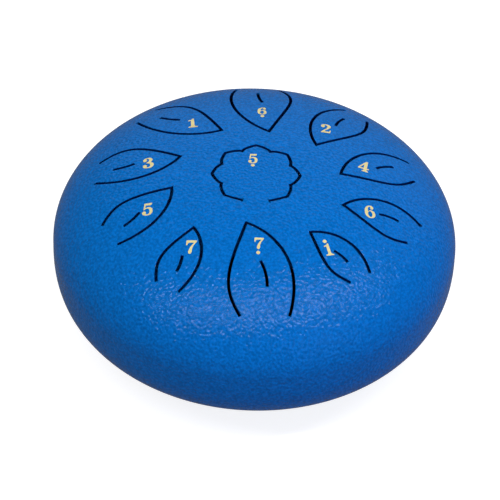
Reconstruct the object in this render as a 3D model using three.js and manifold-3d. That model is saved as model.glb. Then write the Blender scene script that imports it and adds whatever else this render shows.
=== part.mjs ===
// Steel tongue drum, 152 mm across: two drawn shells, eleven tongues and three screwed rubber feet.
// Millimetres, +Z up, origin on the ground under the centre. The player sits towards -Y.
import * as THREE from 'three';
import { mergeVertices } from 'three/addons/utils/BufferGeometryUtils.js';
import Module from 'manifold-3d';

const wasm = await Module();
wasm.setup();

// Shells: the two bowls meet rim to rim in a weld at the widest line
const drumRadius = 76;
const crownHeight = 32.5;
const dishDepth = 30;
const floorRadius = 47;
const crownSheet = 1.2;
const dishSheet = 1.2;
const crownRoundness = { across: 2.5, up: 2 };
const dishRoundness = { across: 1.8, up: 3.15 };

// Sound hole in the middle of the floor, with its edge turned in
const soundHoleRadius = 20;
const lipRadius = 3;

// Slits that free the tongues
const slitWidth = 1.1;

// Outer tongues by the numeral they carry. The root is the middle of the uncut side: its bearing is in
// degrees counter-clockwise from +X, and rimMargin is the plain collar between it and the drum's widest
// line. The leaf leans so many degrees to one side of the drum's axis. fullEnd and straightEnd say how much
// of each side is cut. The tuning slit starts at tuningStart of the length, tuningAside off the middle.
const outerTongues = [
  {
    numeral: 'low 6', bearing: 90, rimMargin: 12.2, length: 38.1, lean: 5.8,
    fullEnd: 0.99, straightEnd: 1, tuningStart: 0.565, tuningAside: 0.02,
  },
  {
    numeral: 'low 7', bearing: -85.8, rimMargin: 11.8, length: 39.6, lean: 7.3,
    fullEnd: 0.99, straightEnd: 0.92, tuningStart: 0.445, tuningAside: 0.055,
  },
  {
    numeral: '1', bearing: 133.8, rimMargin: 16.2, length: 32.3, lean: 14.1,
    fullEnd: 1.05, straightEnd: 1.04, tuningStart: 0.565, tuningAside: 0.035,
  },
  {
    numeral: '2', bearing: 51.8, rimMargin: 16.8, length: 30.5, lean: 9.3,
    fullEnd: 1.06, straightEnd: 1.05, tuningStart: 0.54, tuningAside: 0.03,
  },
  {
    numeral: '3', bearing: 170.2, rimMargin: 15.5, length: 30.6, lean: 10.1,
    fullEnd: 1.02, straightEnd: 1, tuningStart: 0.555, tuningAside: 0.04,
  },
  {
    numeral: '4', bearing: 16.5, rimMargin: 16.2, length: 29, lean: 9.2,
    fullEnd: 1.06, straightEnd: 0.99, tuningStart: 0.525, tuningAside: 0.03,
  },
  {
    numeral: '5', bearing: -155.3, rimMargin: 16.6, length: 28.8, lean: 13.8,
    fullEnd: 1.01, straightEnd: 0.96, tuningStart: 0.54, tuningAside: 0.045,
  },
  {
    numeral: '6', bearing: -15.6, rimMargin: 14.4, length: 27.4, lean: 6.3,
    fullEnd: 1.035, straightEnd: 0.93, tuningStart: 0.49, tuningAside: 0.05,
  },
  {
    numeral: '7', bearing: -121.7, rimMargin: 16.8, length: 24.5, lean: 11.2,
    fullEnd: 1.035, straightEnd: 0.98, tuningStart: 0.51, tuningAside: 0.035,
  },
  {
    numeral: 'high 1', bearing: -47.8, rimMargin: 18.5, length: 23.7, lean: 8.5,
    fullEnd: 1.045, straightEnd: 0.985, tuningStart: 0.475, tuningAside: 0.015,
  },
];

// Leaf outline for a length of 1, tip at 0 and root at 1: a full side and a straighter side, each one curve
const leafFullSide = [[0, 0], [0.148, 0.231], [0.545, 0.468], [1, 0.23]];
const leafStraightSide = [[0, 0], [0.555, -0.291], [0.657, -0.353], [1, -0.173]];

// Tuning slit for a leaf length of 1: it follows the leaf's bowed middle line, and its middle guide point
// and its end lie this much further off the middle than its start
const tuningLength = 0.265;
const tuningBow = { middle: 0.043, end: 0.02 };

// Lotus tongue in the middle: eight petals, and the one towards the player is the uncut root. Each petal's
// side swells next to the valley, at petalSwellAt of the way to the tip. The slit stops at the neck, so
// many degrees to each side of the root. The lotus sits a little off the drum's axis.
const petalCount = 8;
const petalTipRadius = 16.4;
const petalValleyRadius = 13.8;
const petalBulge = 0.6;
const petalSwellAt = 0.25;
const neckRadius = 15;
const neckAngle = 18.7;
const neckBulge = 0.15;
const lotusTurn = 1.2;
const lotusCentre = { x: -0.4, y: 0.4 };

// Feet: rubber, each on one screw that runs through the floor into a nut welded inside
const footCount = 3;
const footBearing = 90;
const footMargin = 1;
const footHeight = 7.5;
const footTopRadius = 8;
const footBottomRadius = 6.8;
const footEdge = 0.8;
const footWeb = 2.2;
const screwRadius = 2;
const screwLength = 10;
const screwHeadRadius = 4;
const screwHeadHeight = 2.6;
const screwHeadFlat = 2.5;
const screwTipChamfer = 0.5;
const driveLength = 4.4;
const driveWidth = 1;
const driveDepth = 1.5;
const washerRadius = 4.5;
const washerThickness = 0.8;
const nutAcrossFlats = 9;
const nutHeight = 3.5;

// Fits: air round what passes through a hole or sits in a recess, and between screw and thread
const clearance = 0.3;
const threadGap = 0.15;

// Fineness of the facets
const shellSides = 64;
const smallSides = 20;
const crownRings = 12;
const dishRings = 10;
const bendSteps = 3;
const leafSteps = 12;
const tuningSteps = 4;
const petalSteps = 4;

// Heights that follow from the sizes above
const floorZ = footHeight;
const seamZ = floorZ + dishDepth;
const crownZ = seamZ + crownHeight;
const webZ = footHeight - footWeb;
const headZ = webZ - washerThickness;
const footCircleRadius = floorRadius - footMargin - footTopRadius;
const screwHoleRadius = screwRadius + clearance;
const degree = Math.PI / 180;

// Materials
const blueCoat = () => new THREE.MeshStandardMaterial({ color: 0x0f66bf, roughness: 0.5, metalness: 0.15 });
const rubber = () => new THREE.MeshStandardMaterial({ color: 0x1b1b1d, roughness: 0.85, metalness: 0 });
const zincSteel = () => new THREE.MeshStandardMaterial({ color: 0xb4b6ba, roughness: 0.35, metalness: 1 });

// A closed geometry as a solid that can be cut: shared corners merged, flat triangles at the axis dropped
function solidOf(geometry) {
  const bare = geometry.clone();
  bare.deleteAttribute('normal');
  bare.deleteAttribute('uv');
  const merged = mergeVertices(bare, 1e-4);
  const corners = merged.index.array;
  const kept = [];
  for (let i = 0; i < corners.length; i += 3) {
    const [a, b, c] = [corners[i], corners[i + 1], corners[i + 2]];
    const flat = a === b || b === c || c === a;
    if (!flat) kept.push(a, b, c);
  }
  const vertProperties = new Float32Array(merged.attributes.position.array);
  const mesh = new wasm.Mesh({ numProp: 3, vertProperties, triVerts: new Uint32Array(kept) });
  return new wasm.Manifold(mesh);
}

function geometryOf(solid) {
  const mesh = solid.getMesh();
  const geometry = new THREE.BufferGeometry();
  geometry.setAttribute('position', new THREE.BufferAttribute(new Float32Array(mesh.vertProperties), 3));
  geometry.setIndex(new THREE.BufferAttribute(new Uint32Array(mesh.triVerts), 1));
  geometry.computeVertexNormals();
  return geometry;
}

// Plan point at a distance from the middle and a bearing in degrees
function polar(distance, bearing) {
  return new THREE.Vector2(distance, 0).rotateAround(new THREE.Vector2(), bearing * degree);
}

// Turned shape about +Z from a profile of [radius, height] points, counter-clockwise round the section
function turned(profile, sides) {
  const points = profile.map(([radius, height]) => new THREE.Vector2(radius, height));
  return new THREE.LatheGeometry(points, sides).rotateX(Math.PI / 2);
}

// Upright prism from a closed plan outline
function prism(outline, bottom, top) {
  const shape = new THREE.Shape(outline);
  const geometry = new THREE.ExtrudeGeometry(shape, { depth: top - bottom, bevelEnabled: false });
  return geometry.translate(0, 0, bottom);
}

// Half section of a bowl from its floor's edge or crown's tip out to its rim: a rounded corner whose two
// exponents set how full it is across and up. Each point carries the outward normal, for the sheet's inside.
function bowlPoint(turn, flatRadius, height, roundness) {
  const sine = Math.sin(turn);
  const cosine = Math.cos(turn);
  const across = sine ** (2 / roundness.across);
  const up = cosine ** (2 / roundness.up);
  const normal = new THREE.Vector2(
    roundness.across * across ** (roundness.across - 1) / (drumRadius - flatRadius),
    roundness.up * up ** (roundness.up - 1) / height,
  ).normalize();
  return { radius: flatRadius + (drumRadius - flatRadius) * across, rise: height * up, normal };
}

function bowlSection(flatRadius, height, roundness, rings, sheet) {
  const outside = [];
  const inside = [];
  for (let ring = 0; ring <= rings; ring += 1) {
    const last = ring === rings;
    const turn = (ring / rings) * Math.PI / 2;
    const point = bowlPoint(turn, flatRadius, height, roundness);
    const rise = last ? 0 : point.rise;
    outside.push([point.radius, rise]);
    inside.push([point.radius - sheet * point.normal.x, last ? 0 : rise - sheet * point.normal.y]);
  }
  return { outside, inside };
}

// Cuts, all made as upright prisms through the crown
const cutBottom = seamZ;
const cutTop = crownZ + clearance;

// Left-hand normal of the way from one plan point to the next
function leftOf(from, to) {
  const way = to.clone().sub(from).normalize();
  return new THREE.Vector2(-way.y, way.x);
}

// A slit along a line of plan points, with square ends and a mitre at each point to keep corners sharp
function slitCut(line) {
  const left = [];
  const right = [];
  const last = line.length - 1;
  line.forEach((point, i) => {
    const arriving = leftOf(line[Math.max(i - 1, 0)], line[Math.max(i, 1)]);
    const leaving = leftOf(line[Math.min(i, last - 1)], line[Math.min(i + 1, last)]);
    const mitre = arriving.clone().add(leaving);
    mitre.multiplyScalar(slitWidth / mitre.lengthSq());
    left.push(point.clone().add(mitre));
    right.push(point.clone().sub(mitre));
  });
  return solidOf(prism([...right, ...left.reverse()], cutBottom, cutTop));
}

// Where a point of the unit leaf lies on the drum, seen from above
function leafPlacement(tongue) {
  const root = polar(drumRadius - tongue.rimMargin, tongue.bearing);
  const along = polar(1, tongue.bearing + tongue.lean);
  const left = new THREE.Vector2(-along.y, along.x);
  return ([u, v]) => root.clone()
    .addScaledVector(along, (u - 1) * tongue.length)
    .addScaledVector(left, v * tongue.length);
}

// Points from the leaf's tip along one side, as far as it is cut
function leafSide(guides, end) {
  const curve = new THREE.CubicBezierCurve(...guides);
  const line = [];
  for (let step = 0; step <= leafSteps; step += 1) {
    line.push(curve.getPoint((end * step) / leafSteps));
  }
  return line;
}

function leafSlit(tongue) {
  const place = leafPlacement(tongue);
  const full = leafSide(leafFullSide.map(place), tongue.fullEnd);
  const straight = leafSide(leafStraightSide.map(place), tongue.straightEnd);
  return slitCut([...full.reverse(), ...straight.slice(1)]);
}

function tuningSlit(tongue) {
  const place = leafPlacement(tongue);
  const start = tongue.tuningStart;
  const aside = tongue.tuningAside;
  const line = new THREE.QuadraticBezierCurve(
    place([start, aside]),
    place([start + tuningLength / 2, aside + tuningBow.middle]),
    place([start + tuningLength, aside + tuningBow.end]),
  );
  return slitCut(line.getPoints(tuningSteps));
}

// One side of a petal, from its valley to its tip: a shallow arc that bulges away from the drum's axis
function petalSide(valley, tip, bulge) {
  const swell = valley.clone().lerp(tip, petalSwellAt);
  swell.addScaledVector(swell.clone().normalize(), 2 * bulge);
  return new THREE.QuadraticBezierCurve(valley, swell, tip).getPoints(petalSteps);
}

// The lotus slit runs from one side of the neck round seven petals to the neck's other side
function lotusSlit() {
  const pitch = 360 / petalCount;
  const rootBearing = -90;
  const lastPetal = petalCount - 1;
  const line = [];
  for (let petal = 1; petal <= lastPetal; petal += 1) {
    const middle = rootBearing + petal * pitch + lotusTurn;
    const tip = polar(petalTipRadius, middle);
    const sides = [-1, 1].map((way) => {
      const atNeck = (petal === 1 && way < 0) || (petal === lastPetal && way > 0);
      const neck = polar(neckRadius, rootBearing + lotusTurn - way * neckAngle);
      const valley = polar(petalValleyRadius, middle + (way * pitch) / 2);
      return petalSide(atNeck ? neck : valley, tip, atNeck ? neckBulge : petalBulge);
    });
    line.push(...sides[0], ...sides[1].reverse().slice(1));
    if (petal < lastPetal) line.pop();
  }
  const centre = new THREE.Vector2(lotusCentre.x, lotusCentre.y);
  return slitCut(line.map((point) => point.add(centre)));
}

// Upper shell: the drawn crown less its slits
function upperShell() {
  const { outside, inside } = bowlSection(0, crownHeight, crownRoundness, crownRings, crownSheet);
  const section = [...inside, ...outside.reverse()];
  let shell = solidOf(turned(section, shellSides).translate(0, 0, seamZ));
  let cut = lotusSlit();
  outerTongues.forEach((tongue) => {
    cut = cut.add(leafSlit(tongue)).add(tuningSlit(tongue));
  });
  shell = shell.subtract(cut);
  return geometryOf(shell);
}

// Turned-in lip of the sound hole: the sheet bends a quarter turn up from the flat floor to its cut edge
function lipSection() {
  const outside = [];
  const inside = [];
  const centreRadius = soundHoleRadius + lipRadius;
  const insideRadius = lipRadius - dishSheet;
  for (let step = 0; step <= bendSteps; step += 1) {
    const angle = (step / bendSteps) * 90 * degree;
    const across = Math.sin(angle);
    const down = Math.cos(angle);
    outside.push([centreRadius - lipRadius * across, floorZ + lipRadius * (1 - down)]);
    inside.push([centreRadius - insideRadius * across, floorZ + lipRadius - insideRadius * down]);
  }
  return { outside, inside };
}

// Lower shell: the drawn dish with its flat floor and sound hole, drilled for the foot screws
function lowerShell() {
  const shoulder = bowlSection(floorRadius, dishDepth, dishRoundness, dishRings, dishSheet);
  const belowSeam = ([radius, rise]) => [radius, seamZ - rise];
  const lip = lipSection();
  const section = [
    ...lip.outside.reverse(),
    ...shoulder.outside.map(belowSeam),
    ...shoulder.inside.reverse().map(belowSeam),
    ...lip.inside,
  ];
  section.push(section[0]);
  let shell = solidOf(turned(section, shellSides));
  const drillLength = dishSheet + 2 * clearance;
  footPlaces().forEach((place) => {
    const drill = new THREE.CylinderGeometry(screwHoleRadius, screwHoleRadius, drillLength, smallSides);
    drill.rotateX(Math.PI / 2).translate(place.x, place.y, floorZ + dishSheet / 2);
    shell = shell.subtract(solidOf(drill));
  });
  return geometryOf(shell);
}

function footPlaces() {
  const places = [];
  for (let i = 0; i < footCount; i += 1) {
    places.push(polar(footCircleRadius, footBearing + (i * 360) / footCount));
  }
  return places;
}

// Rubber foot: a tapered puck with a rounded lower edge, hollow round the screw head, with a web on top
function foot() {
  const recessRadius = washerRadius + clearance;
  const section = [[recessRadius, 0]];
  for (let step = 0; step <= bendSteps; step += 1) {
    const angle = (step / bendSteps) * 90 * degree;
    const radius = footBottomRadius - footEdge * (1 - Math.sin(angle));
    section.push([radius, footEdge * (1 - Math.cos(angle))]);
  }
  section.push(
    [footTopRadius, footHeight],
    [screwHoleRadius, footHeight],
    [screwHoleRadius, webZ],
    [recessRadius, webZ],
    [recessRadius, 0],
  );
  return turned(section, smallSides);
}

function washer() {
  return turned([
    [screwHoleRadius, headZ],
    [washerRadius, headZ],
    [washerRadius, webZ],
    [screwHoleRadius, webZ],
    [screwHoleRadius, headZ],
  ], smallSides);
}

// Pan head screw, head down, with a cross recess and a chamfered tip
function screw() {
  const headBottom = headZ - screwHeadHeight;
  const tipZ = headZ + screwLength;
  const section = [[0, headBottom]];
  for (let step = 0; step <= bendSteps; step += 1) {
    const angle = (step / bendSteps) * 90 * degree;
    const radius = screwHeadFlat + (screwHeadRadius - screwHeadFlat) * Math.sin(angle);
    section.push([radius, headZ - screwHeadHeight * Math.cos(angle)]);
  }
  section.push(
    [screwRadius, headZ],
    [screwRadius, tipZ - screwTipChamfer],
    [screwRadius - screwTipChamfer, tipZ],
    [0, tipZ],
  );
  let body = solidOf(turned(section, smallSides));
  [[driveLength, driveWidth], [driveWidth, driveLength]].forEach(([alongX, alongY]) => {
    const arm = new THREE.BoxGeometry(alongX, alongY, 2 * driveDepth).translate(0, 0, headBottom);
    body = body.subtract(solidOf(arm));
  });
  return geometryOf(body);
}

// Hex nut, projection welded to the inside of the floor
function weldNut() {
  const cornerRadius = nutAcrossFlats / 2 / Math.cos(Math.PI / 6);
  const corners = [0, 60, 120, 180, 240, 300].map((bearing) => polar(cornerRadius, bearing));
  const shape = new THREE.Shape(corners);
  shape.holes.push(new THREE.Path().absarc(0, 0, screwRadius + threadGap, 0, 2 * Math.PI, true));
  const settings = { depth: nutHeight, bevelEnabled: false, curveSegments: smallSides };
  const geometry = new THREE.ExtrudeGeometry(shape, settings);
  return geometry.translate(0, 0, floorZ + dishSheet);
}

function named(name, geometry, material) {
  const mesh = new THREE.Mesh(geometry, material);
  mesh.name = name;
  return mesh;
}

const drum = new THREE.Group();
drum.add(named('upper_shell', upperShell(), blueCoat()));
drum.add(named('lower_shell', lowerShell(), blueCoat()));
footPlaces().forEach((place, i) => {
  const stack = new THREE.Group();
  stack.position.set(place.x, place.y, 0);
  stack.add(named(`foot_${i + 1}`, foot(), rubber()));
  stack.add(named(`foot_washer_${i + 1}`, washer(), zincSteel()));
  stack.add(named(`foot_screw_${i + 1}`, screw(), zincSteel()));
  stack.add(named(`weld_nut_${i + 1}`, weldNut(), zincSteel()));
  drum.add(stack);
});

export default drum;
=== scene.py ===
import math

import bmesh
import bpy
from mathutils import Matrix, Vector


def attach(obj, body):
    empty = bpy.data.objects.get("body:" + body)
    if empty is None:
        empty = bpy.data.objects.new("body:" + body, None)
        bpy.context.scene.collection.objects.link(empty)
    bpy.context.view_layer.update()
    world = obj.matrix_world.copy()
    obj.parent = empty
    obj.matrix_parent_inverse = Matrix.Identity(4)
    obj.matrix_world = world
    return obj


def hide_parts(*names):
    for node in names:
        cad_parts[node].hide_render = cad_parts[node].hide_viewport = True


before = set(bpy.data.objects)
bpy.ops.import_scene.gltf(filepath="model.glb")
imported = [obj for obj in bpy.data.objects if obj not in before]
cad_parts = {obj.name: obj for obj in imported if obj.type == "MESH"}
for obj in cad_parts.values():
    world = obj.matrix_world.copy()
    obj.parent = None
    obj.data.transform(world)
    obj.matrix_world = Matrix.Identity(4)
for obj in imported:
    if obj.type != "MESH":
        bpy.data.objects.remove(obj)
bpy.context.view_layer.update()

# Camera: on the player's side, looking down on the crown through a long lens from about 1.4 m.
# The head is tipped a little to the left, so the drum's own level line falls to the right.
MM = 0.001
look_at = Vector((0, 0, 37.5 * MM))
look_down = math.radians(43.173)
look_distance = 1368 * MM
head_tip = math.radians(2.326)
film_width = 36
film_shift_x = -0.00906
film_shift_y = -0.02354
lens_length = 260.6

camera_data = bpy.data.cameras.new("camera")
camera_data.sensor_width = film_width
camera_data.lens = lens_length
camera_data.shift_x = film_shift_x
camera_data.shift_y = film_shift_y
camera = bpy.data.objects.new("camera", camera_data)
bpy.context.collection.objects.link(camera)
away = Vector((0, -math.cos(look_down), math.sin(look_down)))
tip = Matrix.Rotation(head_tip, 4, "Z")
camera.matrix_world = (
    Matrix.Translation(look_at + away * look_distance)
    @ away.to_track_quat("Z", "Y").to_matrix().to_4x4()
    @ tip
)
bpy.context.scene.camera = camera

# Floor: a pale plain sweep that shows white round the drum, and dimmer where the coat mirrors it. It takes
# the drum's soft shadow. Right under the drum it is painted black and gives no glow, a painted shade, so
# that the slits and the sound hole look into the dark.
floor_size = 8.0
floor_paint = (0.4, 0.4, 0.4, 1)
floor_glow = 0.85
mirrored_floor = 0.15
# Painted shade: within this radius the floor is painted black, fading back to its paint by the edge radius.
painted_shade_radius = 38 * MM
painted_shade_edge = 52 * MM

floor_mesh = bpy.data.meshes.new("floor")
floor_shape = bmesh.new()
bmesh.ops.create_grid(floor_shape, x_segments=1, y_segments=1, size=floor_size / 2)
floor_shape.to_mesh(floor_mesh)
floor_shape.free()
floor = bpy.data.objects.new("floor", floor_mesh)
bpy.context.collection.objects.link(floor)


def seen_in_picture(nodes, links):
    """One where a ray shows the background: straight to the camera, in a gloss or through glass."""
    ray = nodes.new("ShaderNodeLightPath")
    direct_or_gloss = nodes.new("ShaderNodeMath")
    direct_or_gloss.operation = "MAXIMUM"
    links.new(ray.outputs["Is Camera Ray"], direct_or_gloss.inputs[0])
    links.new(ray.outputs["Is Glossy Ray"], direct_or_gloss.inputs[1])
    or_through = nodes.new("ShaderNodeMath")
    or_through.operation = "MAXIMUM"
    links.new(direct_or_gloss.outputs["Value"], or_through.inputs[0])
    links.new(ray.outputs["Is Transmission Ray"], or_through.inputs[1])
    return or_through.outputs["Value"]


floor_finish = bpy.data.materials.new("pale_floor")
floor_finish.use_nodes = True
nodes = floor_finish.node_tree.nodes
links = floor_finish.node_tree.links
nodes.clear()
matt = nodes.new("ShaderNodeBsdfDiffuse")
white = nodes.new("ShaderNodeEmission")
white.inputs["Color"].default_value = (1, 1, 1, 1)
spot = nodes.new("ShaderNodeTexCoord")
from_middle = nodes.new("ShaderNodeVectorMath")
from_middle.operation = "LENGTH"
links.new(spot.outputs["Object"], from_middle.inputs[0])
clear_of_drum = nodes.new("ShaderNodeMapRange")
clear_of_drum.interpolation_type = "SMOOTHSTEP"
clear_of_drum.inputs["From Min"].default_value = painted_shade_radius
clear_of_drum.inputs["From Max"].default_value = painted_shade_edge
links.new(from_middle.outputs["Value"], clear_of_drum.inputs["Value"])
in_gloss = nodes.new("ShaderNodeLightPath")
dimmed = nodes.new("ShaderNodeMapRange")
dimmed.inputs["To Min"].default_value = 1
dimmed.inputs["To Max"].default_value = mirrored_floor
links.new(in_gloss.outputs["Is Glossy Ray"], dimmed.inputs["Value"])
pale = nodes.new("ShaderNodeMath")
pale.operation = "MULTIPLY"
links.new(clear_of_drum.outputs["Result"], pale.inputs[0])
links.new(dimmed.outputs["Result"], pale.inputs[1])
# Black paint under the drum: painted shade.
paint = nodes.new("ShaderNodeMix")
paint.data_type = "RGBA"
paint.inputs["A"].default_value = (0, 0, 0, 1)
paint.inputs["B"].default_value = floor_paint
links.new(pale.outputs["Value"], paint.inputs["Factor"])
links.new(paint.outputs["Result"], matt.inputs["Color"])
lit = nodes.new("ShaderNodeMath")
lit.operation = "MULTIPLY"
lit.inputs[1].default_value = floor_glow
links.new(pale.outputs["Value"], lit.inputs[0])
glow = nodes.new("ShaderNodeMath")
glow.operation = "MULTIPLY"
links.new(lit.outputs["Value"], glow.inputs[0])
links.new(seen_in_picture(nodes, links), glow.inputs[1])
links.new(glow.outputs["Value"], white.inputs["Strength"])
both = nodes.new("ShaderNodeAddShader")
links.new(matt.outputs["BSDF"], both.inputs[0])
links.new(white.outputs["Emission"], both.inputs[1])
finish = nodes.new("ShaderNodeOutputMaterial")
links.new(both.outputs["Shader"], finish.inputs["Surface"])
floor_mesh.materials.append(floor_finish)

# Light: a long strip box nearly overhead gives most of the light and lays the sheen on the front shoulder.
# A white ceiling softens it, a wide panel low behind lifts the top, and a small blue lamp fills the front.
# The walls and the ceiling are dimmer where the coat mirrors them.
room_level = 0.42
wall_share = 0.1
mirrored_walls = 0.15
mirrored_ceiling = 0.08
wall_top = 0.1
ceiling_start = 0.7
white_light = (1, 1, 1)
blue_light = (0.25, 0.42, 1)
soft_boxes = [
    {"climb": 73, "bearing": -75, "distance": 1.2, "size": (2.2, 0.14), "power": 15.2, "tint": white_light},
    {"climb": 28, "bearing": 75, "distance": 1.3, "size": (2.2, 1.0), "power": 2.5, "tint": white_light},
    {"climb": 25, "bearing": -50, "distance": 1.3, "size": (0.8, 0.8), "power": 3.8, "tint": blue_light},
]


def wall_to_ceiling(nodes, links, height, wall_level, ceiling_level):
    """A level that goes smoothly from the walls' to the ceiling's with the height that a ray points at."""
    level = nodes.new("ShaderNodeMapRange")
    level.interpolation_type = "SMOOTHSTEP"
    level.inputs["From Min"].default_value = wall_top
    level.inputs["From Max"].default_value = ceiling_start
    level.inputs["To Min"].default_value = wall_level
    level.inputs["To Max"].default_value = ceiling_level
    links.new(height, level.inputs["Value"])
    return level.outputs["Result"]


room = bpy.data.worlds.new("room")
bpy.context.scene.world = room
room.use_nodes = True
nodes = room.node_tree.nodes
links = room.node_tree.links
nodes.clear()
direction = nodes.new("ShaderNodeTexCoord")
parts = nodes.new("ShaderNodeSeparateXYZ")
links.new(direction.outputs["Generated"], parts.inputs["Vector"])
pointed_at = parts.outputs["Z"]
even = nodes.new("ShaderNodeBackground")
even.inputs["Strength"].default_value = room_level
links.new(wall_to_ceiling(nodes, links, pointed_at, wall_share, 1), even.inputs["Color"])
backdrop = nodes.new("ShaderNodeBackground")
backdrop.inputs["Strength"].default_value = 1
straight_view = nodes.new("ShaderNodeLightPath")
mirrored = nodes.new("ShaderNodeMath")
mirrored.operation = "MAXIMUM"
links.new(straight_view.outputs["Is Camera Ray"], mirrored.inputs[0])
links.new(wall_to_ceiling(nodes, links, pointed_at, mirrored_walls, mirrored_ceiling), mirrored.inputs[1])
links.new(mirrored.outputs["Value"], backdrop.inputs["Color"])
blend = nodes.new("ShaderNodeMixShader")
links.new(seen_in_picture(nodes, links), blend.inputs["Fac"])
links.new(even.outputs["Background"], blend.inputs[1])
links.new(backdrop.outputs["Background"], blend.inputs[2])
finish = nodes.new("ShaderNodeOutputWorld")
links.new(blend.outputs["Shader"], finish.inputs["Surface"])

for number, soft_box in enumerate(soft_boxes, start=1):
    lamp_data = bpy.data.lights.new(f"soft_box_{number}", "AREA")
    lamp_data.shape = "RECTANGLE"
    lamp_data.size, lamp_data.size_y = soft_box["size"]
    lamp_data.energy = soft_box["power"]
    lamp_data.color = soft_box["tint"]
    climb = math.radians(soft_box["climb"])
    bearing = math.radians(soft_box["bearing"])
    level = math.cos(climb)
    towards = Vector((level * math.cos(bearing), level * math.sin(bearing), math.sin(climb)))
    lamp = bpy.data.objects.new(f"soft_box_{number}", lamp_data)
    lamp.location = look_at + towards * soft_box["distance"]
    lamp.rotation_euler = towards.to_track_quat("Z", "Y").to_euler()
    bpy.context.collection.objects.link(lamp)
bpy.context.scene.view_settings.view_transform = "Standard"

# Upper shell: 1.2 mm steel sheet drawn into a flat-topped crown, with the eleven tongues slit in it.
# A satin blue powder coat covers it, with the fine sandy grain that such a coat cures to.
drum_radius = 76 * MM
seam_height = 37.5 * MM
crown_height = 32.5 * MM
crown_sheet = 1.2 * MM
crown_across = 2.5
crown_up = 2.0
shell_corners = 192
crown_rings = 64
weld_band = 0.2 * MM
weld_clear = 1.5 * weld_band
merge_distance = 0.001 * MM

coat_roughness = 0.13
coat_refraction = 1.15
coat_clouds_per_metre = 1000
coat_grains_per_metre = 900
coat_grain_height = 0.38 * MM
coat_shades = [
    (0.4, (0.0, 0.11, 0.39, 1)),
    (0.5, (0.0003, 0.131, 0.465, 1)),
    (0.6, (0.001, 0.154, 0.545, 1)),
]
# Painted shade: a dark blue laid on the slits' walls for the dark inside of the slits.
painted_slit_shade = (0.001, 0.018, 0.11, 1)


def start_material(name):
    """A new node material, its node tree and its shader."""
    material = bpy.data.materials.new(name)
    material.use_nodes = True
    return material, material.node_tree, material.node_tree.nodes["Principled BSDF"]


def noise(tree, per_metre, detail=2, roughness=0.5):
    """A cloudy pattern on a piece's own coordinates, with this many clouds to the metre."""
    place = tree.nodes.new("ShaderNodeTexCoord")
    pattern = tree.nodes.new("ShaderNodeTexNoise")
    pattern.inputs["Scale"].default_value = per_metre
    pattern.inputs["Detail"].default_value = detail
    pattern.inputs["Roughness"].default_value = roughness
    tree.links.new(place.outputs["Object"], pattern.inputs["Vector"])
    return pattern.outputs["Fac"]


def shade(tree, pattern, stops):
    """A colour that follows a pattern through its (level, colour) stops."""
    ramp = tree.nodes.new("ShaderNodeValToRGB")
    elements = ramp.color_ramp.elements
    for element, (level, colour) in zip(elements, (stops[0], stops[-1])):
        element.position = level
        element.color = colour
    for level, colour in stops[1:-1]:
        elements.new(level).color = colour
    tree.links.new(pattern, ramp.inputs["Fac"])
    return ramp.outputs["Color"]


def roughen(tree, shader, pattern, span):
    """Roughness that follows a pattern from the low to the high end of its span."""
    roughness = tree.nodes.new("ShaderNodeMapRange")
    roughness.inputs["To Min"].default_value = span[0]
    roughness.inputs["To Max"].default_value = span[1]
    tree.links.new(pattern, roughness.inputs["Value"])
    tree.links.new(roughness.outputs["Result"], shader.inputs["Roughness"])


def emboss(tree, shader, pattern, height):
    """Fine relief that follows a pattern, up to a height."""
    relief = tree.nodes.new("ShaderNodeBump")
    relief.inputs["Distance"].default_value = height
    tree.links.new(pattern, relief.inputs["Height"])
    tree.links.new(relief.outputs["Normal"], shader.inputs["Normal"])


def powder_coat():
    """Satin blue powder coat: a slightly cloudy colour, and a sandy grain about a millimetre across."""
    material, tree, shader = start_material("blue_powder_coat")
    shader.inputs["Roughness"].default_value = coat_roughness
    shader.inputs["IOR"].default_value = coat_refraction
    shader.inputs["Specular IOR Level"].default_value = 1
    clouds = noise(tree, coat_clouds_per_metre, detail=3, roughness=0.6)
    # Faces marked cut, on the slits' walls, take the painted shade in place of the coat's colour.
    cut = tree.nodes.new("ShaderNodeAttribute")
    cut.attribute_name = "cut"
    slit_shade_mix = tree.nodes.new("ShaderNodeMix")
    slit_shade_mix.data_type = "RGBA"
    slit_shade_mix.inputs["B"].default_value = painted_slit_shade
    tree.links.new(cut.outputs["Fac"], slit_shade_mix.inputs["Factor"])
    tree.links.new(shade(tree, clouds, coat_shades), slit_shade_mix.inputs["A"])
    tree.links.new(slit_shade_mix.outputs["Result"], shader.inputs["Base Color"])
    emboss(tree, shader, noise(tree, coat_grains_per_metre, detail=0), coat_grain_height)
    return material


blue_coat = powder_coat()


def new_piece(name, shape, material, stands_for=(), smooth_below=None):
    """A finished mesh as one piece of the drum, in place of the plain solids that it stands for.

    Its faces are shaded smooth across each edge that turns by less than smooth_below, in degrees.
    """
    mesh = bpy.data.meshes.new(name)
    shape.to_mesh(mesh)
    shape.free()
    if smooth_below:
        mesh.shade_smooth()
        mesh.set_sharp_from_angle(angle=math.radians(smooth_below))
    mesh.materials.append(material)
    piece = bpy.data.objects.new(name, mesh)
    bpy.context.collection.objects.link(piece)
    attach(piece, "root")
    if stands_for:
        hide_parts(*stands_for)
    return piece


def spin_profile(profile, count):
    """A closed half section of (radius, height) corners, turned all the way round the drum's axis."""
    shape = bmesh.new()
    corners = [shape.verts.new((radius, 0, height)) for radius, height in profile]
    pairs = zip(corners, corners[1:] + corners[:1])
    edges = [shape.edges.new((a, b)) for a, b in pairs if a.co.x > 0 or b.co.x > 0]
    bmesh.ops.spin(
        shape,
        geom=corners + edges,
        cent=(0, 0, 0),
        axis=(0, 0, 1),
        angle=2 * math.pi,
        steps=count,
        use_merge=True,
    )
    bmesh.ops.remove_doubles(shape, verts=shape.verts, dist=merge_distance)
    bmesh.ops.dissolve_degenerate(shape, dist=merge_distance, edges=shape.edges)
    bmesh.ops.recalc_face_normals(shape, faces=shape.faces)
    return shape


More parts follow.
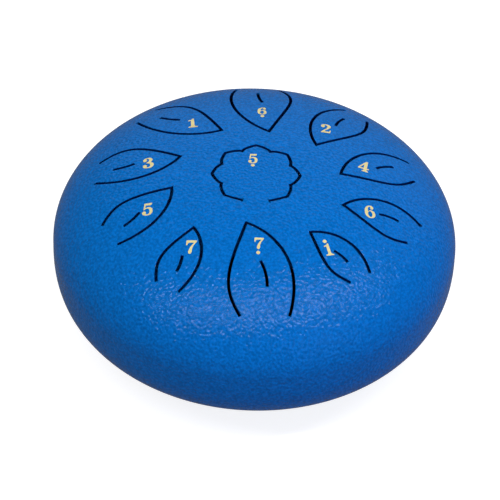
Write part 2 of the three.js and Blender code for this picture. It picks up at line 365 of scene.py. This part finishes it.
def bowl_section(flat_radius, height, across, up, rings, sheet):
    """Outside and inside of a drawn bowl as (radius, rise above the weld), from its middle to its rim."""
    outside = []
    inside = []
    for ring in range(rings):
        turn = ring / rings * math.pi / 2
        out = math.sin(turn) ** (2 / across)
        rise = math.cos(turn) ** (2 / up)
        lean_out = across * out ** (across - 1) / (drum_radius - flat_radius)
        lean_up = up * rise ** (up - 1) / height
        lean = math.hypot(lean_out, lean_up)
        radius = flat_radius + (drum_radius - flat_radius) * out
        outside.append((radius, height * rise))
        inside.append((radius - sheet * lean_out / lean, height * rise - sheet * lean_up / lean))
    outside = [corner for corner in outside if corner[1] > weld_clear]
    inside = [corner for corner in inside if corner[1] > weld_clear]
    outside += [(drum_radius, weld_band), (drum_radius, 0)]
    inside += [(drum_radius - sheet, weld_band), (drum_radius - sheet, 0)]
    return outside, inside


outside, inside = bowl_section(0, crown_height, crown_across, crown_up, crown_rings, crown_sheet)
crown_profile = [(radius, seam_height + rise) for radius, rise in inside + outside[::-1]]
upper = spin_profile(crown_profile, shell_corners)

# Slits: 1.1 mm wide, cut square through the sheet. Ten leaves lean round the collar, each with a short
# tuning slit down its middle, and a slit round seven of the lotus's eight petals frees the middle tongue.
slit_width = 1.1 * MM
slit_edge = 0.18 * MM
slit_rim_angle = math.radians(50)
slit_wall_facing = 0.4
slit_merge = 0.02 * MM
slit_sliver = 0.01 * MM
above_weld = 1 * MM
blade_overshoot = 1 * MM
# Margins run in from the drum's side to a leaf's root, and lengths from root to tip, in millimetres. The
# ends say how much of the leaf's fuller and straighter side is cut, from the tip on, and past 1 a cut runs
# on beyond the root. Tuning and aside say where the tuning slit starts, in leaf lengths.
outer_tongues = {
    "low 6": {
        "bearing": 90, "margin": 12.2, "length": 38.1, "lean": 5.8,
        "full_end": 0.99, "straight_end": 1, "tuning": 0.565, "aside": 0.02,
    },
    "low 7": {
        "bearing": -85.8, "margin": 11.8, "length": 39.6, "lean": 7.3,
        "full_end": 0.99, "straight_end": 0.92, "tuning": 0.445, "aside": 0.055,
    },
    "1": {
        "bearing": 133.8, "margin": 16.2, "length": 32.3, "lean": 14.1,
        "full_end": 1.05, "straight_end": 1.04, "tuning": 0.565, "aside": 0.035,
    },
    "2": {
        "bearing": 51.8, "margin": 16.8, "length": 30.5, "lean": 9.3,
        "full_end": 1.06, "straight_end": 1.05, "tuning": 0.54, "aside": 0.03,
    },
    "3": {
        "bearing": 170.2, "margin": 15.5, "length": 30.6, "lean": 10.1,
        "full_end": 1.02, "straight_end": 1, "tuning": 0.555, "aside": 0.04,
    },
    "4": {
        "bearing": 16.5, "margin": 16.2, "length": 29, "lean": 9.2,
        "full_end": 1.06, "straight_end": 0.99, "tuning": 0.525, "aside": 0.03,
    },
    "5": {
        "bearing": -155.3, "margin": 16.6, "length": 28.8, "lean": 13.8,
        "full_end": 1.01, "straight_end": 0.96, "tuning": 0.54, "aside": 0.045,
    },
    "6": {
        "bearing": -15.6, "margin": 14.4, "length": 27.4, "lean": 6.3,
        "full_end": 1.035, "straight_end": 0.93, "tuning": 0.49, "aside": 0.05,
    },
    "7": {
        "bearing": -121.7, "margin": 16.8, "length": 24.5, "lean": 11.2,
        "full_end": 1.035, "straight_end": 0.98, "tuning": 0.51, "aside": 0.035,
    },
    "high 1": {
        "bearing": -47.8, "margin": 18.5, "length": 23.7, "lean": 8.5,
        "full_end": 1.045, "straight_end": 0.985, "tuning": 0.475, "aside": 0.015,
    },
}
leaf_full_side = [(0, 0), (0.148, 0.231), (0.545, 0.468), (1, 0.23)]
leaf_straight_side = [(0, 0), (0.555, -0.291), (0.657, -0.353), (1, -0.173)]
leaf_steps = 40
tuning_length = 0.265
tuning_bow = 0.043
tuning_drift = 0.02
tuning_steps = 12
petal_count = 8
petal_turn = 360 / petal_count
petal_tip_radius = 16.4 * MM
petal_valley_radius = 13.8 * MM
petal_bulge = 0.6 * MM
petal_swell_at = 0.25
neck_bearing = -90
neck_radius = 15 * MM
neck_angle = 18.7
neck_bulge = 0.15 * MM
petal_steps = 10
lotus_turn = 1.2
lotus_centre = Vector((-0.4 * MM, 0.4 * MM, 0))


def polar(distance, bearing):
    """A point of the plan at a distance from the drum's axis, on a bearing in degrees."""
    turn = math.radians(bearing)
    return Vector((distance * math.cos(turn), distance * math.sin(turn), 0))


def bow(guides, steps, end=1):
    """Points along the smooth curve that three or four guide points shape, up to a share of it."""
    points = []
    for step in range(steps + 1):
        share = end * step / steps
        row = [Vector(guide) for guide in guides]
        while len(row) > 1:
            row = [a.lerp(b, share) for a, b in zip(row, row[1:])]
        points.append(row[0])
    return points


def leaf_point(tongue, along_leaf, off_middle):
    """A point of a leaf in plan: 0 at its tip, 1 at its root, and so many lengths off its middle line."""
    root = polar(drum_radius - tongue["margin"] * MM, tongue["bearing"])
    along = polar(1, tongue["bearing"] + tongue["lean"])
    left = Vector((-along.y, along.x, 0))
    length = tongue["length"] * MM
    return root + along * ((along_leaf - 1) * length) + left * (off_middle * length)


slit_lines = []
for tongue in outer_tongues.values():
    full_guides = [leaf_point(tongue, *guide) for guide in leaf_full_side]
    straight_guides = [leaf_point(tongue, *guide) for guide in leaf_straight_side]
    full = bow(full_guides, leaf_steps, tongue["full_end"])
    straight = bow(straight_guides, leaf_steps, tongue["straight_end"])
    slit_lines.append(full[::-1] + straight[1:])
    start = leaf_point(tongue, tongue["tuning"], tongue["aside"])
    middle = leaf_point(tongue, tongue["tuning"] + tuning_length / 2, tongue["aside"] + tuning_bow)
    end = leaf_point(tongue, tongue["tuning"] + tuning_length, tongue["aside"] + tuning_drift)
    slit_lines.append(bow([start, middle, end], tuning_steps))

lotus_line = []
for petal in range(1, petal_count):
    middle = neck_bearing + petal_turn * petal + lotus_turn
    petal_tip = polar(petal_tip_radius, middle)
    for way in (-1, 1):
        end = polar(petal_valley_radius, middle + petal_turn / 2 * way)
        bulge = petal_bulge
        if (petal, way) in ((1, -1), (petal_count - 1, 1)):
            end = polar(neck_radius, neck_bearing + lotus_turn - way * neck_angle)
            bulge = neck_bulge
        swell = end.lerp(petal_tip, petal_swell_at)
        swell += swell.normalized() * (2 * bulge)
        side = bow([end, swell, petal_tip], petal_steps)
        lotus_line += side if way < 0 else side[::-1][1:]
    if petal < petal_count - 1:
        lotus_line.pop()
slit_lines.append([point + lotus_centre for point in lotus_line])

blades_shape = bmesh.new()
for line in slit_lines:
    low = [blades_shape.verts.new((point.x, point.y, seam_height)) for point in line]
    edges = [blades_shape.edges.new(pair) for pair in zip(low, low[1:])]
    raised = bmesh.ops.extrude_edge_only(blades_shape, edges=edges)["geom"]
    risen = [part for part in raised if isinstance(part, bmesh.types.BMVert)]
    bmesh.ops.translate(blades_shape, verts=risen, vec=(0, 0, crown_height + blade_overshoot))


def helper_object(shape):
    """A passing object for a shape that a modifier works on."""
    mesh = bpy.data.meshes.new("helper")
    shape.to_mesh(mesh)
    shape.free()
    helper = bpy.data.objects.new("helper", mesh)
    bpy.context.collection.objects.link(helper)
    return helper


def combined(shape, tool, operation):
    """The shape with a closed tool taken off it or added to it. Both are used up."""
    body = helper_object(shape)
    joint = body.modifiers.new("joint", "BOOLEAN")
    joint.operation = operation
    joint.solver = "MANIFOLD"
    joint.object = tool
    bpy.context.view_layer.update()
    depsgraph = bpy.context.evaluated_depsgraph_get()
    result = bmesh.new()
    result.from_mesh(bpy.data.meshes.new_from_object(body.evaluated_get(depsgraph)))
    bpy.data.objects.remove(body)
    bpy.data.objects.remove(tool)
    bmesh.ops.remove_doubles(result, verts=result.verts, dist=merge_distance)
    return result


blades = helper_object(blades_shape)
kerf = blades.modifiers.new("kerf", "SOLIDIFY")
kerf.thickness = slit_width
kerf.offset = 0
kerf.use_even_offset = True
upper = combined(upper, blades, "DIFFERENCE")
bmesh.ops.remove_doubles(upper, verts=upper.verts, dist=slit_merge)
bmesh.ops.dissolve_degenerate(upper, dist=slit_sliver, edges=upper.edges)
outer_rims = []
for edge in upper.edges:
    if len(edge.link_faces) != 2 or edge.calc_face_angle(0) < slit_rim_angle:
        continue
    if max(vert.co.z for vert in edge.verts) > seam_height + above_weld:
        outer_rims.append(edge)
bmesh.ops.bevel(
    upper,
    geom=outer_rims,
    offset=slit_edge,
    segments=2,
    profile=0.5,
    affect="EDGES",
    material=-1,
    clamp_overlap=False,
)
bmesh.ops.remove_doubles(upper, verts=upper.verts, dist=merge_distance)

# The slits' walls are painted a dark blue, as painted shade for the dark inside of the slits. They stand
# square to the crown, so a face is on a wall where it hardly looks the way that the crown does there.
in_slit = upper.loops.layers.float.new("cut")
for face in upper.faces:
    middle = face.calc_center_median()
    height = middle.z - seam_height
    out = math.hypot(middle.x, middle.y)
    outward = middle.xy.to_3d() * (crown_across / drum_radius ** crown_across * out ** (crown_across - 2))
    outward.z = crown_up * max(height, 0) ** (crown_up - 1) / crown_height ** crown_up
    if height > above_weld and abs(face.normal.dot(outward.normalized())) < slit_wall_facing:
        for loop in face.loops:
            loop[in_slit] = 1
upper_piece = new_piece("slit_crown", upper, blue_coat, ["upper_shell"], smooth_below=40)
even_shade = upper_piece.modifiers.new("even_shade", "WEIGHTED_NORMAL")
even_shade.keep_sharp = True

# Numerals: the number of each tongue's note, pad printed in pale gold ink that stands a little proud of the
# coat. A dot under a number marks a low note, and a dot over it a high one.
ink_rise = 0.05 * MM
ink_sunk = 0.1 * MM
ink_grid = 0.5 * MM
ink_merge = 0.002 * MM
ink_roughness = 0.45
ink_clouds_per_metre = 900
ink_skin = 0.05 * MM
ink_shades = [(0.35, (0.7, 0.57, 0.22, 1)), (0.65, (0.76, 0.66, 0.31, 1))]
SHARP = "VECTOR"
ROUND = "AUTO"
figure_box = (64, 100)
bend_steps = 8
dot_corners = 40
figures = {
    "1": [[
        (6, 0, SHARP), (64, 0, SHARP), (64, 9, SHARP), (51, 12, ROUND), (45, 22, SHARP),
        (45, 100, SHARP), (36, 100, SHARP), (28, 89, ROUND), (8, 82, SHARP), (8, 74, SHARP),
        (24, 77, SHARP), (24, 22, SHARP), (19, 12, ROUND), (6, 9, SHARP),
    ]],
    "2": [[
        (2, 0, SHARP), (2, 9, SHARP), (18, 28, ROUND), (36, 50, ROUND), (42, 74, ROUND),
        (32, 91, ROUND), (23, 88, ROUND), (26, 76, ROUND), (14, 62, ROUND), (3, 72, ROUND),
        (8, 92, ROUND), (32, 101, ROUND), (55, 93, ROUND), (62, 73, ROUND), (50, 50, ROUND),
        (26, 24, ROUND), (24, 17, SHARP), (46, 15, ROUND), (54, 19, ROUND), (57, 31, SHARP),
        (63, 31, SHARP), (58, 0, SHARP),
    ]],
    "3": [[
        (3, 76, ROUND), (9, 93, ROUND), (31, 101, ROUND), (53, 93, ROUND), (58, 75, ROUND),
        (46, 54, SHARP), (60, 44, ROUND), (64, 26, ROUND), (52, 5, ROUND), (29, -1, ROUND),
        (7, 5, ROUND), (0, 22, ROUND), (11, 35, ROUND), (23, 24, ROUND), (22, 12, ROUND),
        (31, 7, ROUND), (41, 14, ROUND), (43, 29, ROUND), (37, 44, ROUND), (22, 48, SHARP),
        (22, 56, SHARP), (33, 61, ROUND), (38, 77, ROUND), (35, 90, ROUND), (27, 92, ROUND),
        (22, 86, ROUND), (25, 76, ROUND), (14, 65, ROUND),
    ]],
    "4": [[
        (24, 0, SHARP), (62, 0, SHARP), (62, 8, SHARP), (54, 12, ROUND), (52, 24, SHARP),
        (64, 24, SHARP), (64, 34, SHARP), (52, 34, SHARP), (52, 100, SHARP), (41, 100, SHARP),
        (0, 34, SHARP), (0, 24, SHARP), (33, 24, SHARP), (32, 12, ROUND), (24, 8, SHARP),
    ], [
        (10, 34, SHARP), (33, 34, SHARP), (33, 70, SHARP),
    ]],
    "5": [[
        (10, 100, SHARP), (57, 102, SHARP), (53, 86, ROUND), (36, 83, ROUND), (19, 86, SHARP),
        (17, 61, SHARP), (33, 67, ROUND), (55, 58, ROUND), (62, 33, ROUND), (54, 7, ROUND),
        (30, -2, ROUND), (8, 5, ROUND), (0, 20, ROUND), (11, 34, ROUND), (23, 24, ROUND),
        (21, 12, ROUND), (30, 6, ROUND), (41, 14, ROUND), (44, 33, ROUND), (37, 53, ROUND),
        (27, 57, ROUND), (16, 52, ROUND), (13, 46, SHARP), (7, 46, SHARP),
    ]],
    "6": [[
        (58, 84, ROUND), (53, 97, ROUND), (35, 101, ROUND), (12, 88, ROUND), (1, 50, ROUND),
        (8, 12, ROUND), (32, -1, ROUND), (56, 9, ROUND), (63, 33, ROUND), (55, 56, ROUND),
        (38, 63, ROUND), (22, 54, SHARP), (24, 80, ROUND), (33, 93, ROUND), (40, 91, ROUND),
        (38, 80, ROUND), (48, 71, ROUND),
    ], [
        (33, 56, ROUND), (43, 46, ROUND), (43, 18, ROUND), (33, 7, ROUND), (22, 17, ROUND),
        (22, 46, ROUND),
    ]],
    "7": [[
        (2, 100, SHARP), (64, 100, SHARP), (64, 90, SHARP), (49, 64, ROUND), (41, 38, ROUND),
        (40, 10, ROUND), (31, -1, ROUND), (21, 8, ROUND), (24, 34, ROUND), (36, 62, ROUND),
        (50, 82, SHARP), (22, 82, ROUND), (13, 77, ROUND), (10, 64, SHARP), (2, 64, SHARP),
    ]],
}
# Places and sizes are in millimetres and turns in degrees. A dot has its place and its width.
numerals = [
    {"note": "low 6", "at": (0.9, 39.85), "size": (3.5, 5.2), "turn": 0, "dot": (1.08, 36, 1.45)},
    {"note": "low 7", "at": (1.65, -34.7), "size": (3.5, 5), "turn": 0, "dot": (1.57, -38.8, 1.4)},
    {"note": "1", "at": (-25.35, 31.5), "size": (3.8, 6.2), "turn": 5},
    {"note": "2", "at": (25.3, 31.4), "size": (3.9, 5.9), "turn": 0},
    {"note": "3", "at": (-40.9, 8.2), "size": (4, 5.9), "turn": 4},
    {"note": "4", "at": (39.85, 11.15), "size": (4, 6.1), "turn": -7},
    {"note": "5", "at": (-39.87, -16.85), "size": (3.9, 5.7), "turn": 0},
    {"note": "6", "at": (42.23, -13.05), "size": (3.9, 5.8), "turn": 9},
    {"note": "7", "at": (-23.15, -36.23), "size": (3.9, 5.75), "turn": -4},
    {"note": "high 1", "at": (27.1, -34.35), "size": (3.2, 5.1), "turn": 18, "dot": (25.7, -31.05, 1.45)},
    {"note": "low 5", "at": (-1.75, 8.85), "size": (3.5, 5.15), "turn": 0, "dot": (-1.76, 5.05, 1.35)},
]


def pad_ink():
    """Pale gold ink: a soft sheen, and a colour that clouds a little where the film is thinner."""
    material, tree, shader = start_material("gold_ink")
    shader.inputs["Roughness"].default_value = ink_roughness
    film = noise(tree, ink_clouds_per_metre)
    tree.links.new(shade(tree, film, ink_shades), shader.inputs["Base Color"])
    emboss(tree, shader, film, ink_skin)
    return material


gold_ink = pad_ink()


def flat_figure(outlines):
    """One figure, flat and filled inside its outlines, centred on the middle of its box."""
    curve = bpy.data.curves.new("figure", "CURVE")
    curve.dimensions = "2D"
    curve.fill_mode = "BOTH"
    curve.resolution_u = bend_steps
    for outline in outlines:
        spline = curve.splines.new("BEZIER")
        spline.bezier_points.add(len(outline) - 1)
        spline.use_cyclic_u = True
        for knot, (across, up, bend) in zip(spline.bezier_points, outline):
            knot.co = (across - figure_box[0] / 2, up - figure_box[1] / 2, 0)
            knot.handle_left_type = bend
            knot.handle_right_type = bend
    stencil = bpy.data.objects.new("figure", curve)
    bpy.context.collection.objects.link(stencil)
    bpy.context.view_layer.update()
    depsgraph = bpy.context.evaluated_depsgraph_get()
    shape = bmesh.new()
    shape.from_mesh(bpy.data.meshes.new_from_object(stencil.evaluated_get(depsgraph)))
    bpy.data.objects.remove(stencil)
    return shape


def crown_level(point):
    """Height of the crown's outside over a point of the plan."""
    out = math.hypot(point.x, point.y) / drum_radius
    return seam_height + crown_height * (1 - out ** crown_across) ** (1 / crown_up)


def print_on_crown(shape):
    """Flat ink cut into a fine grid, given its thickness and laid on the crown's curve."""
    for axis, across in ((0, (1, 0, 0)), (1, (0, 1, 0))):
        reach = [vert.co[axis] for vert in shape.verts]
        line = math.ceil(min(reach) / ink_grid) * ink_grid
        while line < max(reach):
            bmesh.ops.bisect_plane(
                shape,
                geom=shape.verts[:] + shape.edges[:] + shape.faces[:],
                dist=merge_distance,
                plane_co=Vector(across) * line,
                plane_no=across,
            )
            line += ink_grid
    bmesh.ops.remove_doubles(shape, verts=shape.verts, dist=ink_merge)
    face_up = bmesh.ops.extrude_face_region(shape, geom=shape.faces[:], use_keep_orig=True)["geom"]
    raised = [part for part in face_up if isinstance(part, bmesh.types.BMVert)]
    bmesh.ops.translate(shape, verts=raised, vec=(0, 0, ink_rise + ink_sunk))
    for vert in shape.verts:
        vert.co.z += crown_level(vert.co) - ink_sunk
    bmesh.ops.recalc_face_normals(shape, faces=shape.faces)


for numeral in numerals:
    figure = flat_figure(figures[numeral["note"][-1]])
    x, y = numeral["at"]
    wide, tall = numeral["size"]
    stretch = (wide * MM / figure_box[0], tall * MM / figure_box[1], 1)
    bmesh.ops.scale(figure, verts=figure.verts, vec=stretch)
    turn = Matrix.Rotation(math.radians(numeral["turn"]), 3, "Z")
    bmesh.ops.rotate(figure, verts=figure.verts, cent=(0, 0, 0), matrix=turn)
    bmesh.ops.translate(figure, verts=figure.verts, vec=(x * MM, y * MM, 0))
    if "dot" in numeral:
        dot_x, dot_y, dot_size = numeral["dot"]
        bmesh.ops.create_circle(
            figure,
            cap_ends=True,
            segments=dot_corners,
            radius=dot_size / 2 * MM,
            matrix=Matrix.Translation((dot_x * MM, dot_y * MM, 0)),
        )
    print_on_crown(figure)
    new_piece("numeral_" + numeral["note"].replace(" ", "_"), figure, gold_ink)

# Lower shell: 1.2 mm steel sheet drawn into a dish with a flat floor. The edge of its sound hole is
# turned in by a quarter bend, and its rim is butt welded to the crown's and ground flush under the coat.
dish_depth = 30 * MM
floor_radius = 47 * MM
dish_sheet = 1.2 * MM
dish_across = 1.8
dish_up = 3.15
dish_rings = 48
hole_radius = 20 * MM
lip_radius = 3 * MM
lip_steps = 10
foot_height = 7.5 * MM
foot_circle = 38 * MM
foot_bearings = (90, 210, 330)
screw_hole_radius = 2.3 * MM
screw_hole_corners = 48
drill_length = 4 * dish_sheet

outside, inside = bowl_section(floor_radius, dish_depth, dish_across, dish_up, dish_rings, dish_sheet)
lip_outside = []
lip_inside = []
for step in range(lip_steps + 1):
    turn = step / lip_steps * math.pi / 2
    for side, bend in ((lip_outside, lip_radius), (lip_inside, lip_radius - dish_sheet)):
        across = hole_radius + lip_radius - bend * math.sin(turn)
        side.append((across, foot_height + lip_radius - bend * math.cos(turn)))
dish_profile = lip_outside[::-1]
dish_profile += [(radius, seam_height - rise) for radius, rise in outside]
dish_profile += [(radius, seam_height - rise) for radius, rise in inside[::-1]]
dish_profile += lip_inside
lower = spin_profile(dish_profile, shell_corners)
foot_places = [polar(foot_circle, bearing) for bearing in foot_bearings]
drills = bmesh.new()
for place in foot_places:
    bmesh.ops.create_cone(
        drills,
        cap_ends=True,
        segments=screw_hole_corners,
        radius1=screw_hole_radius,
        radius2=screw_hole_radius,
        depth=drill_length,
        matrix=Matrix.Translation(place + Vector((0, 0, foot_height + dish_sheet / 2))),
    )
lower = combined(lower, helper_object(drills), "DIFFERENCE")
new_piece("dish_with_sound_hole", lower, blue_coat, ["lower_shell"], smooth_below=40)

# Feet: three black rubber pucks, moulded with a taper, a rounded lower edge and a deep recess that keeps
# the screw's head off the table. The screw clamps each one flat against the dish's floor.
foot_top_radius = 8 * MM
foot_bottom_radius = 6.8 * MM
foot_edge = 0.8 * MM
foot_top_edge = 0.35 * MM
foot_web = 2.2 * MM
recess_radius = 4.8 * MM
recess_edge = 0.4 * MM
foot_corners = 96
bloom_per_metre = 260
rubber_grains_per_metre = 3000
rubber_grain_height = 0.04 * MM
rubber_shades = [(0.4, (0.016, 0.016, 0.017, 1)), (0.7, (0.034, 0.034, 0.036, 1))]
rubber_roughness = (0.55, 0.8)


def soft_rubber():
    """Black rubber: matt, with a fine moulded grain and a slightly greyer bloom in patches."""
    material, tree, shader = start_material("black_rubber")
    bloom = noise(tree, bloom_per_metre, detail=4)
    tree.links.new(shade(tree, bloom, rubber_shades), shader.inputs["Base Color"])
    roughen(tree, shader, bloom, rubber_roughness)
    emboss(tree, shader, noise(tree, rubber_grains_per_metre), rubber_grain_height)
    return material


black_rubber = soft_rubber()


def rounded(corner_x, corner_z, radius, start, steps=6):
    """A quarter round of a turned section about its centre, counter-clockwise from a start angle."""
    turns = [math.radians(start + 90 * step / steps) for step in range(steps + 1)]
    return [(corner_x + radius * math.cos(turn), corner_z + radius * math.sin(turn)) for turn in turns]


foot_profile = rounded(recess_radius + recess_edge, recess_edge, recess_edge, 180)
foot_profile += rounded(foot_bottom_radius - foot_edge, foot_edge, foot_edge, -90)
foot_profile += rounded(foot_top_radius - foot_top_edge, foot_height - foot_top_edge, foot_top_edge, 0)
foot_profile += [(screw_hole_radius, foot_height), (screw_hole_radius, foot_height - foot_web)]
foot_profile += [(recess_radius, foot_height - foot_web)]
for number, place in enumerate(foot_places, start=1):
    foot = spin_profile(foot_profile, foot_corners)
    bmesh.ops.translate(foot, verts=foot.verts, vec=place)
    new_piece(f"rubber_foot_{number}", foot, black_rubber, [f"foot_{number}"], smooth_below=40)

# Washers: stamped steel, zinc plated, one face with the soft edge that the punch leaves. Each sits at the
# bottom of a foot's recess and spreads the screw's pull over the rubber web.
washer_radius = 4.5 * MM
washer_thickness = 0.8 * MM
washer_edge = 0.2 * MM
web_level = foot_height - foot_web
head_level = web_level - washer_thickness
washer_corners = 96
zinc_clouds_per_metre = 500
zinc_shades = [(0.35, (0.52, 0.54, 0.58, 1)), (0.65, (0.70, 0.71, 0.73, 1))]
zinc_roughness = (0.22, 0.48)


def zinc_plate():
    """Bright zinc plating: a cool grey metal, a little cloudy in colour and in gloss."""
    material, tree, shader = start_material("zinc_plate")
    shader.inputs["Metallic"].default_value = 1
    clouds = noise(tree, zinc_clouds_per_metre, detail=4)
    tree.links.new(shade(tree, clouds, zinc_shades), shader.inputs["Base Color"])
    roughen(tree, shader, clouds, zinc_roughness)
    return material


plated_zinc = zinc_plate()
washer_profile = [(screw_hole_radius, head_level), (washer_radius - washer_edge, head_level)]
washer_profile += rounded(washer_radius - washer_edge, head_level + washer_edge, washer_edge, -90)[1:]
washer_profile += [(washer_radius, web_level), (screw_hole_radius, web_level)]
for number, place in enumerate(foot_places, start=1):
    washer = spin_profile(washer_profile, washer_corners)
    bmesh.ops.translate(washer, verts=washer.verts, vec=place)
    stands_for = [f"foot_washer_{number}"]
    new_piece(f"washer_{number}", washer, plated_zinc, stands_for, smooth_below=40)

# Screws: M4 pan heads, 10 mm long, cold headed with a cross recess and rolled with a full thread. Each runs
# up through washer, foot and floor into its weld nut, and its chamfered tip stands clear of the nut.
screw_radius = 2 * MM
thread_root_radius = 1.6 * MM
thread_pitch = 0.7 * MM
thread_crest = 0.1 * MM
thread_steps = 32
thread_merge = 0.005 * MM
screw_length = 10 * MM
tip_chamfer = 0.5 * MM
head_radius = 4 * MM
head_height = 2.6 * MM
head_flat_radius = 2.5 * MM
head_steps = 12
head_corners = 64
rod_in_head = 0.5 * MM
recess_length = 4.4 * MM
recess_width = 1 * MM
recess_depth = 1.5 * MM
recess_taper = 0.55


def threaded_rod(bottom, top):
    """A rod with one unbroken thread, cut square at both ends."""
    rod = bmesh.new()
    flank = (thread_pitch - 2 * thread_crest) / 2
    rise = bottom - thread_pitch
    tooth = [
        (thread_root_radius, rise),
        (thread_root_radius, rise + thread_crest),
        (screw_radius, rise + thread_crest + flank),
        (screw_radius, rise + 2 * thread_crest + flank),
        (thread_root_radius, rise + thread_pitch),
    ]
    corners = [rod.verts.new((radius, 0, height)) for radius, height in tooth]
    edges = [rod.edges.new(pair) for pair in zip(corners, corners[1:])]
    turns = math.ceil((top - bottom) / thread_pitch) + 2
    bmesh.ops.spin(
        rod,
        geom=corners + edges,
        cent=(0, 0, 0),
        axis=(0, 0, 1),
        dvec=(0, 0, thread_pitch / thread_steps),
        angle=2 * math.pi * turns,
        steps=thread_steps * turns,
    )
    bmesh.ops.remove_doubles(rod, verts=rod.verts, dist=thread_merge)
    for level, keep_above in ((bottom, True), (top, False)):
        bmesh.ops.bisect_plane(
            rod,
            geom=rod.verts[:] + rod.edges[:] + rod.faces[:],
            dist=merge_distance,
            plane_co=(0, 0, level),
            plane_no=(0, 0, 1),
            clear_inner=keep_above,
            clear_outer=not keep_above,
        )
    bmesh.ops.holes_fill(rod, edges=[edge for edge in rod.edges if edge.is_boundary], sides=0)
    bmesh.ops.recalc_face_normals(rod, faces=rod.faces)
    return rod


head_profile = [(0, head_level), (0, head_level - head_height)]
for step in range(head_steps + 1):
    turn = step / head_steps * math.pi / 2
    across = head_flat_radius + (head_radius - head_flat_radius) * math.sin(turn)
    head_profile.append((across, head_level - head_height * math.cos(turn)))
for number, place in enumerate(foot_places, start=1):
    rod = threaded_rod(head_level - rod_in_head, head_level + screw_length)
    tip_start = head_level + screw_length - tip_chamfer
    for vert in rod.verts:
        limit = screw_radius - max(vert.co.z - tip_start, 0)
        radius = math.hypot(vert.co.x, vert.co.y)
        if radius > limit:
            vert.co.xy *= limit / radius
    screw = combined(spin_profile(head_profile, head_corners), helper_object(rod), "UNION")
    cross = bmesh.new()
    for along, wide in ((recess_length, recess_width), (recess_width, recess_length)):
        arm = bmesh.ops.create_cube(cross, size=1)["verts"]
        bmesh.ops.scale(cross, verts=arm, vec=(along, wide, 2 * recess_depth))
        deep = [vert for vert in arm if vert.co.z > 0]
        bmesh.ops.scale(cross, verts=deep, vec=(recess_taper, recess_taper, 1))
        bmesh.ops.translate(cross, verts=arm, vec=(0, 0, head_level - head_height))
    screw = combined(screw, helper_object(cross), "DIFFERENCE")
    bmesh.ops.translate(screw, verts=screw.verts, vec=place)
    stands_for = [f"foot_screw_{number}"]
    new_piece(f"pan_head_screw_{number}", screw, plated_zinc, stands_for, smooth_below=35)

# Weld nuts: M4 hexagons of plated steel, projection welded to the inside of the floor, so that a foot can
# be changed from outside. The free face has the usual cone chamfer over its six corners.
nut_across_flats = 9 * MM
nut_height = 3.5 * MM
nut_bore_radius = 2.15 * MM
nut_chamfer = math.radians(30)
nut_land_inset = 0.1 * MM
nut_land_radius = nut_across_flats / 2 - nut_land_inset
nut_sides = 6
nut_side_steps = 8
nut_corners = nut_sides * nut_side_steps
half_side_angle = math.pi / nut_sides
corner_radius = nut_across_flats / 2 / math.cos(half_side_angle)
upright = Matrix.Rotation(half_side_angle, 4, "Z")

for number, place in enumerate(foot_places, start=1):
    nut = bmesh.new()
    bmesh.ops.create_circle(nut, segments=nut_sides, radius=corner_radius, matrix=upright)
    bmesh.ops.subdivide_edges(nut, edges=nut.edges, cuts=nut_side_steps - 1)
    hexagon = nut.edges[:]
    bmesh.ops.create_circle(nut, segments=nut_corners, radius=nut_land_radius, matrix=upright)
    land = [edge for edge in nut.edges if edge not in hexagon]
    bmesh.ops.create_circle(nut, segments=nut_corners, radius=nut_bore_radius, matrix=upright)
    bore = [edge for edge in nut.edges if edge not in hexagon and edge not in land]
    bmesh.ops.bridge_loops(nut, edges=hexagon + land)
    bmesh.ops.bridge_loops(nut, edges=land + bore)
    free_end = bmesh.ops.extrude_face_region(nut, geom=nut.faces[:], use_keep_orig=True)["geom"]
    free_verts = [part for part in free_end if isinstance(part, bmesh.types.BMVert)]
    bmesh.ops.translate(nut, verts=free_verts, vec=(0, 0, nut_height))
    for vert in free_verts:
        beyond_land = math.hypot(vert.co.x, vert.co.y) - nut_land_radius
        vert.co.z -= max(beyond_land, 0) * math.tan(nut_chamfer)
    bmesh.ops.recalc_face_normals(nut, faces=nut.faces)
    bmesh.ops.translate(nut, verts=nut.verts, vec=place + Vector((0, 0, foot_height + dish_sheet)))
    stands_for = [f"weld_nut_{number}"]
    new_piece(f"hex_weld_nut_{number}", nut, plated_zinc, stands_for, smooth_below=25)
